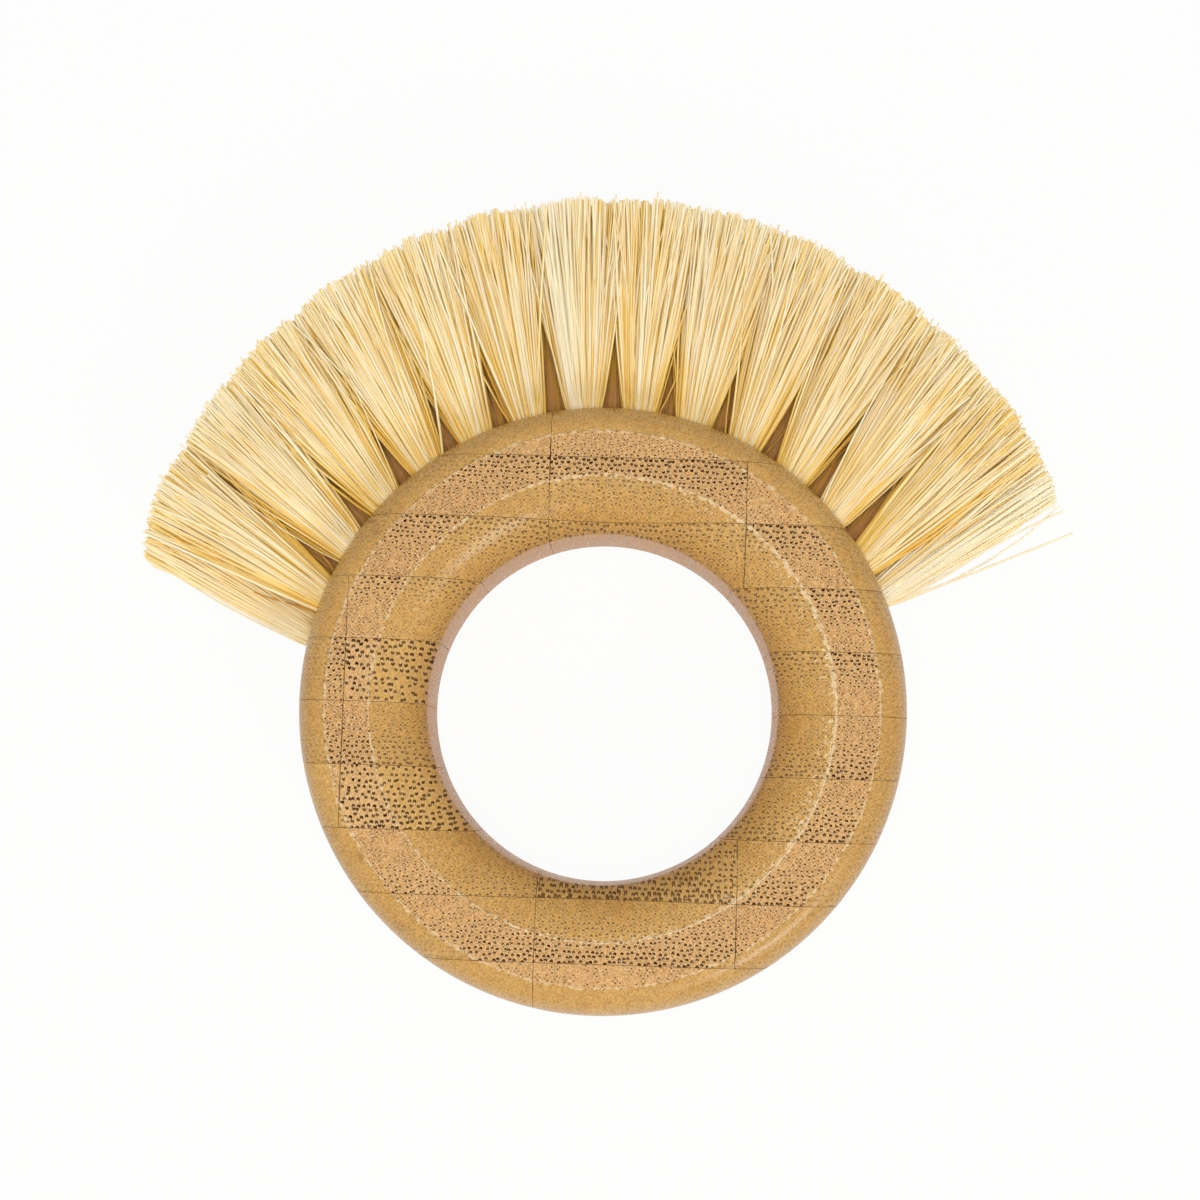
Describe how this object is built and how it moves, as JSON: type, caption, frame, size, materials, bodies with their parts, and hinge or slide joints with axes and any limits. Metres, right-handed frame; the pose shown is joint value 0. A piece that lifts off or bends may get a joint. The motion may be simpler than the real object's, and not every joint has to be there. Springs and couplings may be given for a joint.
{
  "type": "vegetable brush",
  "caption": "Ring-shaped bamboo scrubbing brush: a laminated finger-ring handle with a fan of stiff plant-fibre tufts set in its rim.",
  "frame": {"origin": "bottom centre of the brush's box, lying on the ring's back face", "axes": "+Z along the ring's axis, out of the front face; +Y along the middle of the bristle fan; +X across the fan"},
  "size_m": [0.1173, 0.103, 0.025],
  "materials": {
    "bamboo": "satin",
    "bristle_fibre": "matte",
    "anchor_wire": "satin"
  },
  "bodies": {
    "root": {"bamboo_layer_1_left": "bamboo", "bamboo_layer_1_middle": "bamboo", "bamboo_layer_2_left": "bamboo", "bamboo_layer_2_middle": "bamboo", "bamboo_layer_2_right": "bamboo", "bamboo_layer_3_left": "bamboo", "bamboo_layer_3_middle": "bamboo", "bamboo_layer_3_right": "bamboo", "bamboo_layer_4_edge": "bamboo", "bamboo_layer_4_left": "bamboo", "bamboo_layer_4_right": "bamboo", "bamboo_layer_5_edge": "bamboo", "bamboo_layer_5_left": "bamboo", "bamboo_layer_5_right": "bamboo", "bamboo_layer_6_edge": "bamboo", "bamboo_layer_6_left": "bamboo", "bamboo_layer_6_right": "bamboo", "bamboo_layer_7_edge": "bamboo", "bamboo_layer_7_left": "bamboo", "bamboo_layer_7_right": "bamboo", "bamboo_layer_8_left": "bamboo", "bamboo_layer_8_middle": "bamboo", "bamboo_layer_8_right": "bamboo", "bamboo_layer_9_left": "bamboo", "bamboo_layer_9_middle": "bamboo", "bamboo_layer_9_right": "bamboo", "bamboo_layer_10_left": "bamboo", "bamboo_layer_10_middle": "bamboo", "tuft_anchor_front_01": "anchor_wire", "tuft_anchor_front_02": "anchor_wire", "tuft_anchor_front_03": "anchor_wire", "tuft_anchor_front_04": "anchor_wire", "tuft_anchor_front_05": "anchor_wire", "tuft_anchor_front_06": "anchor_wire", "tuft_anchor_front_07": "anchor_wire", "tuft_anchor_front_08": "anchor_wire", "tuft_anchor_front_09": "anchor_wire", "tuft_anchor_front_10": "anchor_wire", "tuft_anchor_front_11": "anchor_wire", "tuft_anchor_front_12": "anchor_wire", "tuft_anchor_front_13": "anchor_wire", "tuft_anchor_back_01": "anchor_wire", "tuft_anchor_back_02": "anchor_wire", "tuft_anchor_back_03": "anchor_wire", "tuft_anchor_back_04": "anchor_wire", "tuft_anchor_back_05": "anchor_wire", "tuft_anchor_back_06": "anchor_wire", "tuft_anchor_back_07": "anchor_wire", "tuft_anchor_back_08": "anchor_wire", "tuft_anchor_back_09": "anchor_wire", "tuft_anchor_back_10": "anchor_wire", "tuft_anchor_back_11": "anchor_wire", "tuft_anchor_back_12": "anchor_wire", "tuft_anchor_back_13": "anchor_wire", "tuft_anchor_back_14": "anchor_wire", "bristles_left": "bristle_fibre", "bristles_upper_left": "bristle_fibre", "bristles_upper_right": "bristle_fibre", "bristles_right": "bristle_fibre"}
  },
  "joints": []
}
